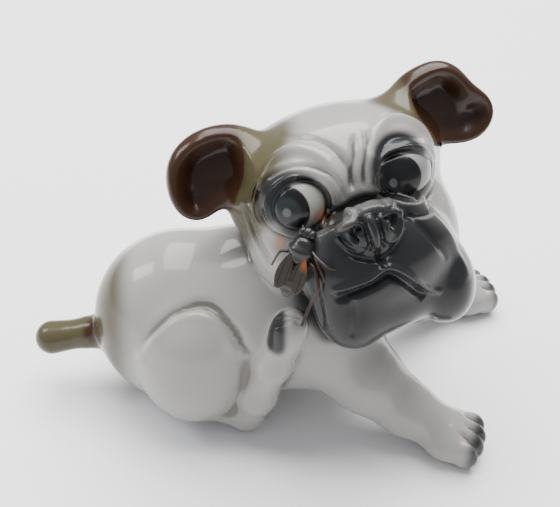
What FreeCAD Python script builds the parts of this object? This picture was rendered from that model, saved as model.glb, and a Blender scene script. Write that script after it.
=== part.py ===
"""Porcelain puppy that sits and scratches its cheek with a hind foot, while a fly sits on the cheek.

The figurine is slip-cast in separate plaster moulds and put together with slip before firing.
Each casting is a sub-part here: a hollow torso, a hollow head, two ears, four legs and a tail.
The fly is put together the same way, from three bodies, two wings and six wire legs.

Millimetres. +X is the way the puppy faces, +Y its left, +Z up, and z = 0 the table.
The head, the ears and the fly are drawn upright, facing -Y, and are then turned with the head.
"""

import FreeCAD, Part
import Sketcher

import math
import os

V = FreeCAD.Vector
UP = V(0, 0, 1)
doc = FreeCAD.newDocument("puppy")

# ---------------------------------------------------------------------------------------------
# Driving dimensions. Every form is a lozenge: two balls and the cone that is tangent to both.
# A lozenge is "first centre x, y, z, radius, last centre x, y, z, radius".
# ---------------------------------------------------------------------------------------------
PLAIN = {
    "wall": 3.5,  # thickness of the slip-cast wall
    "vent_radius": 3.0,  # air hole under the seat, needed in the kiln
    "neck_low": 58.0,
    "neck_top": 82.0,  # height of the luting face between neck and head
    "neck_radius_low": 24.5,
    "neck_radius_top": 22.5,
    "neck_px": 16.0,
    "neck_py": -18.5,
    "tail_length": 34.0,
    "tail_root_radius": 7.5,
    "tail_waist_radius": 5.4,
    "tail_tip_radius": 7.2,
    "ear_radius": 17.0,
    "ear_bulge": 20.5,  # radius of the two balls whose common part is the ear flap
    "ear_scoop": 19.5,  # radius of the ball that hollows the flap
    "ear_thickness": 4.5,
    "toe_radius": 3.7,
    "wire_radius": 0.65,  # the fly's legs
    "hind_wire_radius": 0.9,
    "wing_length": 13.0,
    "wing_width": 5.6,
    "wing_thickness": 0.7,
}
LOZENGES = {
    # the seated body
    "rump": (-40, -22, 35.5, 36.5, -40, -22, 39, 36.5),
    "waist": (-20, -22, 44, 35, -5, -22, 46, 34),
    "chest": (13, -22, 39, 31, 13, -22, 53, 31),
    # haunches and lower legs
    "right_haunch": (-44, -38, 24.4, 23.2, -27, -39, 27, 22.4),
    "right_shank": (-15, -50, 8.4, 8.2, -5, -51, 42, 6.8),
    "right_instep": (-7, -51.2, 36, 5.8, 2.6, -54, 58, 6.4),
    "left_haunch": (-45, -3, 23, 22, -28, -3, 25, 22),
    "left_shank": (-36, 13, 7.6, 7.8, -4, 14.6, 7, 7),
    "right_upper_arm": (14, -36, 44, 18, 34, -44, 26, 14.6),
    "right_forearm": (34.5, -44.2, 26, 14.3, 66, -57.5, 9.4, 8.7),
    "left_upper_arm": (18, -6, 44, 17, 42, 6, 29, 12.8),
    "left_forearm": (42.5, 6.3, 29, 12.5, 86, 27.6, 9.2, 8.6),
    # head, in its own upright frame
    "right_skull": (1.5, 8, 5, 31, -18, 8, 6, 23),
    "left_skull": (0.5, 8, 5, 31, 20, 8, 6, 23),
    "brow": (-17, -9, 13, 18, 17, -9, 13, 18),
    "right_temple": (-30, 4, 18.5, 12.6, -31.5, 3, 19.5, 12.4),
    "left_temple": (30, 4, 18.5, 12.6, 31.5, 3, 19.5, 12.4),
    "right_cheek": (-25, -6, -12, 16, -25.5, -8, -23, 15.5),
    "left_cheek": (24.5, -6, -12, 16, 25, -8, -23, 15.5),
    "right_muzzle": (1.5, -26, -17, 20.5, -14, -25.5, -17, 14),
    "left_muzzle": (0.5, -26, -17, 20.5, 16, -25.5, -17, 14),
    "right_flew": (-12.5, -26, -30, 13, -13.5, -26.5, -36, 12.5),
    "left_flew": (20, -21, -26, 16, 22, -20, -31, 15),
    "chin": (-5, -27, -33, 11, 7, -27, -33, 11),
    "nose_pad": (-3.5, -44.5, -3, 6.5, 3.5, -44.5, -3, 6.5),
    "right_eye": (-20, -24.5, 6.8, 8.2, -20, -24.3, 7.6, 8.2),
    "left_eye": (20, -24.5, 6.8, 8.2, 20, -24.3, 7.6, 8.2),
    "skull_cavity": (-9, 8, 4, 25.5, 10, 8, 4, 25.5),
    "muzzle_cavity": (-3, -13, -13, 15, 5, -13, -13, 15),
    # the fly, in the head's frame
    "fly_thorax": (-22.4, -33.4, -4.4, 3.6, -24.9, -33, -7.6, 3.8),
    "fly_head": (-18.4, -33.6, -1.2, 2.7, -17.2, -34, -1.6, 2.7),
    "fly_abdomen": (-27.4, -32.4, -12.6, 3.9, -29.9, -32, -18.6, 3.2),
}
HEAD_PLACE = V(22.5, -20, 98.5)
HEAD_YAW, HEAD_PITCH, HEAD_ROLL = 14, 24, 9

sheet = doc.addObject("Spreadsheet::Sheet", "Dimensions")
row = 0


def cell(alias, value):
    """Puts one number in the next row of the sheet, under an alias that expressions can read."""
    global row
    row += 1
    sheet.set("A%d" % row, alias)
    sheet.set("B%d" % row, str(value))
    sheet.setAlias("B%d" % row, alias)


LOZENGE_CELLS = ("px", "py", "pz", "first_radius", "qx", "qy", "qz", "last_radius")
for name, value in PLAIN.items():
    cell(name, value)
for name, values in LOZENGES.items():
    for suffix, value in zip(LOZENGE_CELLS, values):
        cell(name + "_" + suffix, value)
doc.recompute()


# ---------------------------------------------------------------------------------------------
# Small builders. Every size is an expression on the sheet.
# ---------------------------------------------------------------------------------------------
def bind(obj, **expressions):
    for prop, text in expressions.items():
        obj.setExpression(prop.replace("__", "."), "Dimensions." + text)


def origin_plane(body, role):
    return [f for f in body.Origin.OriginFeatures if f.Role == role][0]


def turned_profile(name, start, end, first, last):
    """A body of revolution whose sketch is arc, side, arc and axis, set out from start to end."""
    body = doc.addObject("PartDesign::Body", name)
    sketch = body.newObject("Sketcher::SketchObject", name + "_outline")
    sketch.AttachmentSupport, sketch.MapMode = [(origin_plane(body, "XZ_Plane"), "")], "FlatFace"
    span = (end - start).Length
    lean = math.asin((first - last) / span)
    low = Part.ArcOfCircle(Part.Circle(V(0, 0, 0), UP, first), -math.pi / 2, lean)
    high = Part.ArcOfCircle(Part.Circle(V(0, span, 0), UP, last), lean, math.pi / 2)
    side = Part.LineSegment(low.EndPoint, high.StartPoint)
    axis = Part.LineSegment(high.EndPoint, low.StartPoint)
    sketch.addGeometry([low, side, high, axis], False)
    rule = Sketcher.Constraint
    sketch.addConstraint([
        rule("Radius", 0, first), rule("Radius", 2, last), rule("DistanceY", -1, 1, 2, 3, span),
        rule("Coincident", 0, 3, -1, 1), rule("PointOnObject", 2, 3, -2),
        rule("Tangent", 0, 2, 1, 1), rule("Tangent", 1, 2, 2, 1),
        rule("Coincident", 2, 2, 3, 1), rule("Coincident", 3, 2, 0, 1),
        rule("PointOnObject", 3, 1, -2), rule("PointOnObject", 3, 2, -2),
    ])
    for number, label in enumerate(("first_radius", "last_radius", "span")):
        sketch.renameConstraint(number, label)
    turned = body.newObject("PartDesign::Revolution", name + "_turned")
    turned.Profile, turned.ReferenceAxis, turned.Angle = sketch, (sketch, ["V_Axis"]), 360
    body.Placement = FreeCAD.Placement(start, FreeCAD.Rotation(UP, end - start))
    return body, sketch


def lozenge(mass, inset=0):
    """One of the sheet's lozenges. inset counts the wall thicknesses taken off both radii."""
    values = LOZENGES[mass]
    taken = inset * PLAIN["wall"]
    name = mass + ("_inside" if inset else "_form")
    body, sketch = turned_profile(name, V(*values[:3]), V(*values[4:7]), values[3] - taken, values[7] - taken)
    bind(sketch, Constraints__first_radius="%s_first_radius - %d * Dimensions.wall" % (mass, inset),
         Constraints__last_radius="%s_last_radius - %d * Dimensions.wall" % (mass, inset))
    steps = ["(Dimensions.%s_q%s - Dimensions.%s_p%s) ^ 2" % (mass, a, mass, a) for a in "xyz"]
    sketch.setExpression("Constraints.span", "sqrt(" + " + ".join(steps) + ")")
    for axis in "xyz":
        body.setExpression("Placement.Base." + axis, "Dimensions.%s_p%s" % (mass, axis))
    return body


def fuse(name, *shapes):
    obj = doc.addObject("Part::MultiFuse", name)
    obj.Shapes = list(shapes)
    return obj


def cut(name, base, tool):
    obj = doc.addObject("Part::Cut", name)
    obj.Base, obj.Tool = base, tool
    return obj


def ball(name, centre, radius):
    """A ball whose radius is an expression on the sheet."""
    obj = doc.addObject("Part::Sphere", name)
    obj.Placement.Base = centre
    bind(obj, Radius=radius)
    return obj


def toes(name, centre, heading, length, width):
    """Four toes fanned about the heading (degrees from +X)."""
    turn = FreeCAD.Rotation(V(0, 0, 1), heading)
    made = []
    for number in range(4):
        across = (number - 1.5) / 1.5
        root = centre + turn.multVec(V(-length, width * 0.5 * across, 0))
        tip = centre + turn.multVec(V(length * (1 - 0.25 * across * across), width * across, -0.8))
        radius = PLAIN["toe_radius"]
        body, sketch = turned_profile("%s_toe%d" % (name, number + 1), root, tip, radius + 0.6, radius)
        bind(sketch, Constraints__first_radius="toe_radius + 0.6", Constraints__last_radius="toe_radius")
        made.append(body)
    return made


table = doc.addObject("Part::Box", "table")
table.Length, table.Width, table.Height = 400, 400, 40
table.Placement.Base = V(-200, -200, -40)

# ---------------------------------------------------------------------------------------------
# Torso: three overlapping forms and the neck, cast hollow, with a vent hole under the seat
# ---------------------------------------------------------------------------------------------
neck = doc.addObject("Part::Cone", "neck_form")
bind(neck, Radius1="neck_radius_low", Radius2="neck_radius_top", Height="neck_top - Dimensions.neck_low")
throat = doc.addObject("Part::Cylinder", "throat_bore")
THROAT_RISE = 8  # how far the bore runs on into the head
bind(throat, Radius="neck_radius_top - Dimensions.wall",
     Height="neck_top - Dimensions.neck_low + %d" % THROAT_RISE)
for obj in (neck, throat):
    bind(obj, Placement__Base__x="neck_px", Placement__Base__y="neck_py", Placement__Base__z="neck_low")

vent = doc.addObject("Part::Cylinder", "vent_bore")
bind(vent, Radius="vent_radius", Placement__Base__x="rump_px", Placement__Base__y="rump_py")
vent.Height, vent.Placement.Base.z = 20, -5

TRUNK = ("rump", "waist", "chest")
torso_form = cut("torso_form", fuse("torso_raw", neck, *[lozenge(m) for m in TRUNK]), table)
torso_inside = fuse("torso_inside", throat, vent, *[lozenge(m, inset=1) for m in TRUNK])
torso = cut("torso_cast", torso_form, torso_inside)


# ---------------------------------------------------------------------------------------------
# Legs: tapering forms from shoulder or haunch to the toes, cut to sit on the torso
# ---------------------------------------------------------------------------------------------
def leg(name, *forms):
    """Fuses a leg's forms, trims it at the table and cuts away what the torso already fills."""
    standing = cut(name + "_standing", fuse(name + "_raw", *forms), table)
    return cut(name + "_cast", standing, torso_form)


right_foreleg = leg("right_foreleg", lozenge("right_upper_arm"), lozenge("right_forearm"),
                    *toes("right_forepaw", V(73, -60.4, 4.6), -18, 7, 8.6))
left_foreleg = leg("left_foreleg", lozenge("left_upper_arm"), lozenge("left_forearm"),
                   *toes("left_forepaw", V(92, 30.4, 4.6), 18, 7, 8.6))
left_hind_leg = leg("left_hind_leg", lozenge("left_haunch"), lozenge("left_shank"),
                    *toes("left_hind_paw", V(2, 14.8, 4.6), 4, 6, 5.6))

# ---------------------------------------------------------------------------------------------
# Tail: a short stub turned on its own axis, then tipped down to the rear
# ---------------------------------------------------------------------------------------------
tail_body = doc.addObject("PartDesign::Body", "tail_body")
tail_sketch = tail_body.newObject("Sketcher::SketchObject", "tail_outline")
tail_sketch.AttachmentSupport = [(origin_plane(tail_body, "XZ_Plane"), "")]
tail_sketch.MapMode = "FlatFace"
length = PLAIN["tail_length"]
root, waist, tip = (PLAIN["tail_%s_radius" % part] for part in ("root", "waist", "tip"))
side = Part.BSplineCurve()
side.interpolate([V(root, 0, 0), V(waist, length * 0.3, 0), V(tip, length * 0.78, 0), V(0, length, 0)],
                 Tangents=[V(-1, 3, 0), V(0, 1, 0), V(-0.05, 1, 0), V(-1, 0, 0)],
                 TangentFlags=[True, False, False, True])
tail_sketch.addGeometry(side, False)
tail_sketch.addGeometry(Part.LineSegment(V(0, length, 0), V(0, 0, 0)), False)
tail_sketch.addGeometry(Part.LineSegment(V(0, 0, 0), V(root, 0, 0)), False)
tail_turned = tail_body.newObject("PartDesign::Revolution", "tail_turned")
tail_turned.Profile, tail_turned.ReferenceAxis = tail_sketch, (tail_sketch, ["V_Axis"])
tail_turned.Angle = 360
tail_body.Placement = FreeCAD.Placement(V(-71, -21, 30), FreeCAD.Rotation(UP, V(-1, 0.05, -0.22)))
tail = cut("tail_cast", tail_body, torso_form)

# ---------------------------------------------------------------------------------------------
# Head: drawn upright, cast hollow, with a socket that fits over the neck
# ---------------------------------------------------------------------------------------------
head_turn = (FreeCAD.Rotation(UP, HEAD_YAW)
             * FreeCAD.Rotation(V(1, 0, 0), -HEAD_PITCH)
             * FreeCAD.Rotation(V(0, 1, 0), -HEAD_ROLL))
on_head = FreeCAD.Placement(HEAD_PLACE, head_turn)


def turn_with_head(obj):
    obj.Placement = on_head
    return obj


HEAD_MASSES = ("right_skull", "left_skull", "brow", "right_temple", "left_temple", "right_cheek",
               "left_cheek", "right_muzzle", "left_muzzle", "right_flew", "left_flew", "chin", "nose_pad",
               "right_eye", "left_eye")
head_form = fuse("head_form", *[lozenge(m) for m in HEAD_MASSES])
head_inside = fuse("head_inside", lozenge("skull_cavity"), lozenge("muzzle_cavity"))
head_shell = turn_with_head(cut("head_shell", head_form, head_inside))
head = cut("head_cast", cut("head_socket", head_shell, torso_form), throat)

# The right hind foot is raised to the cheek, and is trimmed where it comes near the head
RIGHT_HIND = ("right_haunch", "right_shank", "right_instep")
right_hind_leg = cut("right_hind_leg_clear", leg("right_hind_leg", *[lozenge(m) for m in RIGHT_HIND]), head)


def ear(side, centre):
    """The common part of two balls, scooped out in front and cut to sit on the side of the skull."""
    bulge, radius = PLAIN["ear_bulge"], PLAIN["ear_radius"]
    set_off = math.sqrt(bulge ** 2 - radius ** 2)
    flap = doc.addObject("Part::MultiCommon", side + "_flap")
    flap.Shapes = [ball(side + "_flap_front", centre + V(0, set_off, 0), "ear_bulge"),
                   ball(side + "_flap_back", centre - V(0, set_off, 0), "ear_bulge")]
    back = bulge - set_off
    scoop_centre = centre + V(0, back - PLAIN["ear_thickness"] - PLAIN["ear_scoop"], 0)
    scooped = cut(side + "_ear_scooped", flap, ball(side + "_scoop", scoop_centre, "ear_scoop"))
    return turn_with_head(cut(side + "_ear_cast", scooped, head_form))


right_ear = ear("right", V(-46, 2, 22))
left_ear = ear("left", V(48, 2, 21))

# ---------------------------------------------------------------------------------------------
# Fly: three bodies luted to the cheek, two wings laid along the abdomen, six wire legs
# ---------------------------------------------------------------------------------------------
thorax_form = lozenge("fly_thorax")
fly_thorax = turn_with_head(cut("fly_thorax_cast", thorax_form, head_form))
thorax_and_head = fuse("thorax_and_head", head_form, thorax_form)
fly_head_form, fly_abdomen_form = lozenge("fly_head"), lozenge("fly_abdomen")
fly_head = turn_with_head(cut("fly_head_cast", fly_head_form, thorax_and_head))
fly_abdomen = turn_with_head(cut("fly_abdomen_cast", fly_abdomen_form, thorax_and_head))
fly_ground = fuse("fly_ground", head_form, thorax_form, fly_head_form, fly_abdomen_form)


def wing(side, root, tip, outward):
    """A flat tear-drop plate whose root is luted to the thorax."""
    body = doc.addObject("PartDesign::Body", side + "_wing_body")
    sketch = body.newObject("Sketcher::SketchObject", side + "_wing_outline")
    sketch.AttachmentSupport, sketch.MapMode = [(origin_plane(body, "XY_Plane"), "")], "FlatFace"
    span, half = PLAIN["wing_length"], PLAIN["wing_width"] / 2
    edge = Part.BSplineCurve()
    edge.interpolate([V(0, 0, 0), V(span * 0.35, half * 0.7, 0), V(span * 0.75, half, 0), V(span, 0, 0),
                      V(span * 0.75, -half, 0), V(span * 0.35, -half * 0.7, 0)], PeriodicFlag=True)
    sketch.addGeometry(edge, False)
    plate = body.newObject("PartDesign::Pad", side + "_wing_plate")
    plate.Profile = sketch
    bind(plate, Length="wing_thickness")
    along = tip - root
    body.Placement = FreeCAD.Placement(root, FreeCAD.Rotation(along, outward.cross(along), outward, "XZY"))
    return turn_with_head(cut(side + "_wing_cast", body, fly_ground))


WING_OUTWARD = V(-0.36, -0.88, 0.3)
fly_right_wing = wing("fly_right", V(-24.6, -37.2, -8), V(-26.2, -37.4, -20.5), WING_OUTWARD)
fly_left_wing = wing("fly_left", V(-27.2, -34.6, -7.2), V(-32.8, -33.8, -19), WING_OUTWARD)

FLY_LEGS = {  # knees and foot of each leg in the head's frame, the first point inside the thorax
    "fly_right_front_leg": (V(-21.4, -34.2, -4.2), V(-20.2, -40, -8.4), V(-18.2, -43.2, -11.4),
                            V(-14.4, -42.4, -14)),
    "fly_right_middle_leg": (V(-21.2, -34, -5.6), V(-20, -41.5, -13.5), V(-19.6, -34, -27.5)),
    "fly_right_hind_leg": (V(-24, -34, -8), V(-21.6, -38.4, -11.6), V(-22.4, -40.4, -18.6),
                           V(-25.4, -37.6, -23), V(-30.7, -36, -31)),
    "fly_left_front_leg": (V(-21.8, -33.6, -4), V(-22.4, -35, 0.2), V(-20.8, -33.2, 2.6)),
    "fly_left_middle_leg": (V(-24.4, -33, -6.4), V(-30.6, -31.6, -3.8), V(-33.6, -25.2, -9.8)),
    "fly_left_hind_leg": (V(-25, -33, -8.2), V(-32.4, -29.4, -10), V(-34.6, -24, -18)),
}


def wire_leg(name, points):
    """A wire bent at its knees, pushed into the thorax and trimmed where it meets the clay."""
    path = doc.addObject("Part::Polygon", name + "_path")
    path.Nodes, path.Close = list(points), False
    section = doc.addObject("Part::Circle", name + "_section")
    section.Placement = FreeCAD.Placement(points[0], FreeCAD.Rotation(UP, points[1] - points[0]))
    bind(section, Radius="hind_wire_radius" if name == "fly_right_hind_leg" else "wire_radius")
    wire = doc.addObject("Part::Sweep", name + "_wire")
    wire.Sections, wire.Spine = [section], (path, ["Edge%d" % (n + 1) for n in range(len(points) - 1)])
    wire.Solid, wire.Frenet, wire.Transition = True, False, "Round corner"
    return turn_with_head(cut(name + "_cut", wire, fly_ground))


PIECES = {
    "torso": torso,
    "head": head,
    "right_ear": right_ear,
    "left_ear": left_ear,
    "right_foreleg": right_foreleg,
    "left_foreleg": left_foreleg,
    "right_hind_leg": right_hind_leg,
    "left_hind_leg": left_hind_leg,
    "tail": tail,
    "fly_thorax": fly_thorax,
    "fly_head": fly_head,
    "fly_abdomen": fly_abdomen,
    "fly_right_wing": fly_right_wing,
    "fly_left_wing": fly_left_wing,
}
for name, points in FLY_LEGS.items():
    PIECES[name] = wire_leg(name, points)
for name, obj in PIECES.items():
    obj.Label = name
doc.recompute()

# ---------------------------------------------------------------------------------------------
# Checks, then one STEP file per piece, with the origin under the middle of the figurine
# ---------------------------------------------------------------------------------------------
failed = [o.Label for o in doc.Objects if "Invalid" in o.State or "Error" in o.State]
if failed:
    raise RuntimeError("these objects failed: %s" % failed)
for name, obj in PIECES.items():
    if obj.Shape.isNull() or not obj.Shape.isValid() or len(obj.Shape.Solids) != 1:
        raise RuntimeError("%s is not one valid solid but %d" % (name, len(obj.Shape.Solids)))

OUTLINE_TOLERANCE = 0.05
points = [p for obj in PIECES.values() for p in obj.Shape.tessellate(OUTLINE_TOLERANCE)[0]]
spans = [(min(p[axis] for p in points), max(p[axis] for p in points)) for axis in range(3)]
to_origin = V(-sum(spans[0]) / 2, -sum(spans[1]) / 2, -spans[2][0])
os.makedirs("parts", exist_ok=True)
for name, obj in PIECES.items():
    shape = obj.Shape.copy()
    shape.translate(to_origin)
    shape.exportStep("parts/%s.step" % name)
    print("%-22s volume %9.1f mm3" % (name, obj.Shape.Volume))
print("overall %.1f x %.1f x %.1f mm" % tuple(high - low for low, high in spans))
print("moved by %.2f %.2f %.2f" % tuple(to_origin))
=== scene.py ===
import math

import bpy
import numpy as np
from mathutils import Matrix, Vector
from mathutils.bvhtree import BVHTree


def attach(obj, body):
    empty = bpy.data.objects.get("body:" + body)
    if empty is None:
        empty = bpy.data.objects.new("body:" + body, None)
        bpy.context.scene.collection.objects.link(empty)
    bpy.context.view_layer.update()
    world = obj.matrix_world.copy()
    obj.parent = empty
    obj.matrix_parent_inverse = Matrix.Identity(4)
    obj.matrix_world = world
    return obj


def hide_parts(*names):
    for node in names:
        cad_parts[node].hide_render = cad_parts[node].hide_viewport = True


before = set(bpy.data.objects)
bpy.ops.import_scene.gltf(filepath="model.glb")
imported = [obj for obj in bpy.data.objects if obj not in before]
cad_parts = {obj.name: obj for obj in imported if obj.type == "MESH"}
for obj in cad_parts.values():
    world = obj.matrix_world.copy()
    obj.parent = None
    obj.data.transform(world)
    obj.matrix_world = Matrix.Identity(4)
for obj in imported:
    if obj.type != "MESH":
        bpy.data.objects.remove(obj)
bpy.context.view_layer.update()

# ----------------------------------------------------------------------
# Torso: rump, waist, chest and neck. Porcelain, slip-cast hollow in one mould, with an air hole for
# the kiln under the seat. The modeller's original is egg-shaped and tapering lumps that melt into
# each other, set out in millimetres and measured by distance functions.
# ----------------------------------------------------------------------
def egg(points, centre, half_axes, turn=None):
    """Distance to an ellipsoid, true close to its surface. turn is a 3 x 3 rotation."""
    local = points - np.array(centre, float)
    if turn is not None:
        local = local @ turn
    half = np.array(half_axes, float)
    near = np.sqrt(((local / half) ** 2).sum(1)) + 1e-9
    steep = np.sqrt(((local / half ** 2) ** 2).sum(1)) + 1e-9
    return near * (near - 1) / steep


def taper(points, start, end, first, last):
    """Distance to a limb whose radius runs from first at start to last at end."""
    start, span = np.array(start, float), np.array(end, float) - np.array(start, float)
    along = np.clip((points - start) @ span / (span @ span), 0, 1)
    off = points - start - along[:, None] * span
    return np.sqrt((off ** 2).sum(1)) - (first + along * (last - first))


def melt(softness, *distances):
    """Union of lumps whose joint is filled to about that many millimetres."""
    stack = np.array(distances)
    low = stack.min(0)
    return low - softness * np.log(np.exp((low - stack) / softness).sum(0))


TORSO = {
    "rump": ((-41, -19, 37), (36, 32.5, 38.5)),
    "waist": ((-13, -22, 44), (38, 33, 36)),
    "chest": ((13, -22, 46), (31, 31, 38)),
}
NECK = ((14, -20, 62), (18, -18, 92), 24, 22)  # start, end, radius at the start, radius at the end
VENT = ((-40, -22), 3.0, 9.0)  # place, radius and depth of the air hole


def torso_clay(p):
    return melt(3, *[egg(p, *lump) for lump in TORSO.values()], taper(p, *NECK))


# ----------------------------------------------------------------------
# Legs and tail: slip-cast porcelain, luted to the torso with slip. The right hind leg is bent up to
# scratch the cheek, the left one lies along the table, and the tail is a docked stub.
# ----------------------------------------------------------------------
def turn_about(axis, degrees):
    return np.array(Matrix.Rotation(math.radians(degrees), 3, axis))


# Each limb is a list of stretches: start, end, radius at the start, radius at the end
LIMBS = {
    "right_foreleg": [((12, -35, 47), (34, -44, 27), 17.5, 14.5), ((34, -44, 27), (51, -51, 15.5), 14.5, 10.8),
                      ((51, -51, 15.5), (66, -57.5, 9.5), 10.8, 8.8)],
    "left_foreleg": [((16, -6, 46), (42, 6, 30), 17, 12.5), ((42, 6, 30), (64, 17, 15), 12.5, 9.5),
                     ((64, 17, 15), (86, 27, 9), 9.5, 8.5)],
    "right_hind_leg": [((-30, -42, 16), (-15, -46, 9), 12.0, 7.2), ((-13.5, -46.5, 8), (-9, -52, 24), 7.3, 6.9),
                       ((-9, -52, 24), (-2.5, -56, 45), 6.9, 6.2), ((-2.5, -56, 45), (3.0, -57, 61), 6.2, 6.2)],
    "tail": [((-68, -21.5, 31), (-80, -20.5, 29), 8.5, 5.8), ((-80, -20.5, 29), (-97, -19.5, 25), 5.4, 7.2)],
}
# Ellipsoids: centre, half axes and, where turned, a rotation
HAUNCHES = {"right": ((-34, -42.5, 34.5), (23.5, 19.5, 30)), "left": ((-36, -3, 25), (30, 20, 26))}
RAISED_FOOT = ((3.4, -57, 63), (7.0, 7.2, 10.5), turn_about("Y", 12))
LEFT_SHANK = ((-22, 13, 7.5), (22, 8, 8))
PAWS = {  # centre, heading in degrees from +X, half length, width and height
    "right_foreleg": ((69, -59, 8), -18, (12, 12.5, 8.5)),
    "left_foreleg": ((89, 29.5, 8), 18, (12, 12.5, 8.5)),
    "left_hind_leg": ((-2, 15, 6.5), 4, (12, 9.5, 7)),
}


def limb_clay(p, name):
    return melt(2, *[taper(p, *stretch) for stretch in LIMBS[name]])


def paw_clay(p, name):
    """A paw with four toes fanned about its heading."""
    centre, heading, (length, width, height) = PAWS[name]
    turn = turn_about("Z", heading)
    lumps = [egg(p, centre, (length, width, height), turn)]
    for number in range(4):
        across = (number - 1.5) / 1.5
        toe = np.array(centre) + turn @ np.array([length * (0.8 - 0.18 * abs(across)),
                                                  width * 0.68 * across, -height * 0.1])
        lumps.append(egg(p, toe, (length * 0.42, width * 0.26, height * 0.76), turn))
    return melt(0.9, *lumps)


def foreleg_clay(name):
    return lambda p: melt(1.5, limb_clay(p, name), paw_clay(p, name))


def right_hind_leg_clay(p):
    return melt(0.9, egg(p, *HAUNCHES["right"]), melt(1, limb_clay(p, "right_hind_leg"), egg(p, *RAISED_FOOT)))


def left_hind_leg_clay(p):
    return melt(2, egg(p, *HAUNCHES["left"]), egg(p, *LEFT_SHANK), paw_clay(p, "left_hind_leg"))


def tail_clay(p):
    return limb_clay(p, "tail")


# ----------------------------------------------------------------------
# Head: broad flat skull, hanging cheeks and flews, short muzzle, bulging eyes. Porcelain, slip-cast
# hollow and luted over the neck. It is set out upright, facing -Y, and carried to its place.
# ----------------------------------------------------------------------
HEAD_PLACE = np.array([22.5, -20.0, 98.5])
HEAD_TURN = turn_about("Z", 14) @ turn_about("X", -24) @ turn_about("Y", -9)


def to_head(points):
    return (points - HEAD_PLACE) @ HEAD_TURN


def from_head(points):
    return np.asarray(points, float) @ HEAD_TURN.T + HEAD_PLACE


HEAD = {
    "skull": ((1, 8, 5), (42, 33, 29)),
    "brow": ((0, -9, 13), (36, 21, 18)),
    "right temple": ((-31, 4, 19), (13, 14, 12)),
    "left temple": ((31, 4, 19), (13, 14, 12)),
    "right cheek": ((-25.5, -6, -11), (13.5, 19, 18)),
    "left cheek": ((26, -6, -18), (14, 20, 22)),
}
MUZZLE = {
    "muzzle": ((1, -26, -17), (29, 21, 20)),
    "right flew": ((-13.0, -26, -35), (11.5, 14, 14)),
    "left flew": ((24.5, -21, -36), (12.5, 16, 17)),
    "chin": ((2, -25, -36), (18, 13, 11)),
}
NOSE = ((-1.5, -43, -2.5), (10.5, 7.5, 8.5))
EYES = {"right": (-21.0, -20.5, 7.5), "left": (18.5, -20.5, 7.5)}
EYE_RADIUS = 11.5


def head_clay(p):
    q = to_head(p)
    bones = melt(2.5, *[egg(q, *lump) for lump in HEAD.values()])
    face = melt(1.2, bones, melt(3.2, *[egg(q, *lump) for lump in MUZZLE.values()]))
    face = melt(1.0, face, egg(q, *NOSE))
    eyes = [np.sqrt(((q - np.array(centre)) ** 2).sum(1)) - EYE_RADIUS for centre in EYES.values()]
    return melt(0.5, face, *eyes)


# ----------------------------------------------------------------------
# Ears: two rounded porcelain flaps, pressed solid and luted to the temples. Their hollows are
# pressed in once the ears are on the head.
# ----------------------------------------------------------------------
EARS = {
    "right": [((-44, 4, 23.5), (15.5, 7.5, 13.5)), ((-52.5, 3, 16), (8, 6.5, 9.5)), ((-36, 5, 25), (13, 8, 11))],
    "left": [((48, 3, 23), (12.5, 7.5, 15)), ((57, 2, 15), (10.5, 6.5, 9.5)), ((40, 5, 25), (11, 8, 11))],
}


def ear_clay(side):
    return lambda p: melt(3, *[egg(to_head(p), *lump) for lump in EARS[side]])


# ----------------------------------------------------------------------
# The luted figure: all castings joined with slip into one skin, before folds and features are worked
# into it. Each casting has the softness of its joint, in the order they are later parted again.
# ----------------------------------------------------------------------
SKIN_STEP, EASE_ROUNDS = ((1.0, 30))  # size of the skin's faces
CASTINGS = {
    "right_ear": (ear_clay("right"), 2.0),
    "left_ear": (ear_clay("left"), 2.0),
    "head": (head_clay, 1.2),
    "right_hind_leg": (right_hind_leg_clay, 1.6),
    "right_foreleg": (foreleg_clay("right_foreleg"), 2.5),
    "left_foreleg": (foreleg_clay("left_foreleg"), 2.5),
    "left_hind_leg": (left_hind_leg_clay, 1.2),
    "tail": (tail_clay, 1.5),
}


def whole_clay(p):
    """The luted figure, flat where it stands on the table, with the air hole under its seat."""
    solid = torso_clay(p)
    for clay, softness in reversed(CASTINGS.values()):
        solid = melt(softness, solid, clay(p))
    (vent_x, vent_y), radius, depth = VENT
    bore = np.minimum(radius - np.hypot(p[:, 0] - vent_x, p[:, 1] - vent_y), depth - p[:, 2])
    return -melt(0.35, -solid, p[:, 2], -bore)


def deselect():
    bpy.ops.object.select_all(action="DESELECT")


def lump_start(centre, half_axes, turn=None):
    """One ball of clay as a mesh, at its size and place."""
    bpy.ops.mesh.primitive_ico_sphere_add(subdivisions=5, radius=1)
    ball = bpy.context.object
    place = Matrix.Translation(Vector(centre))
    spin = Matrix(turn.tolist()).to_4x4() if turn is not None else Matrix.Identity(4)
    ball.data.transform(place @ spin @ Matrix.Diagonal((*half_axes, 1)))
    return ball


def limb_start(start, end, first, last):
    """A chain of clay balls along a limb."""
    start, end = np.array(start, float), np.array(end, float)
    count = max(2, int(np.linalg.norm(end - start) / (0.35 * min(first, last))) + 1)
    return [lump_start(start + (end - start) * t, [first + (last - first) * t] * 3)
            for t in np.linspace(0, 1, count)]


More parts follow.
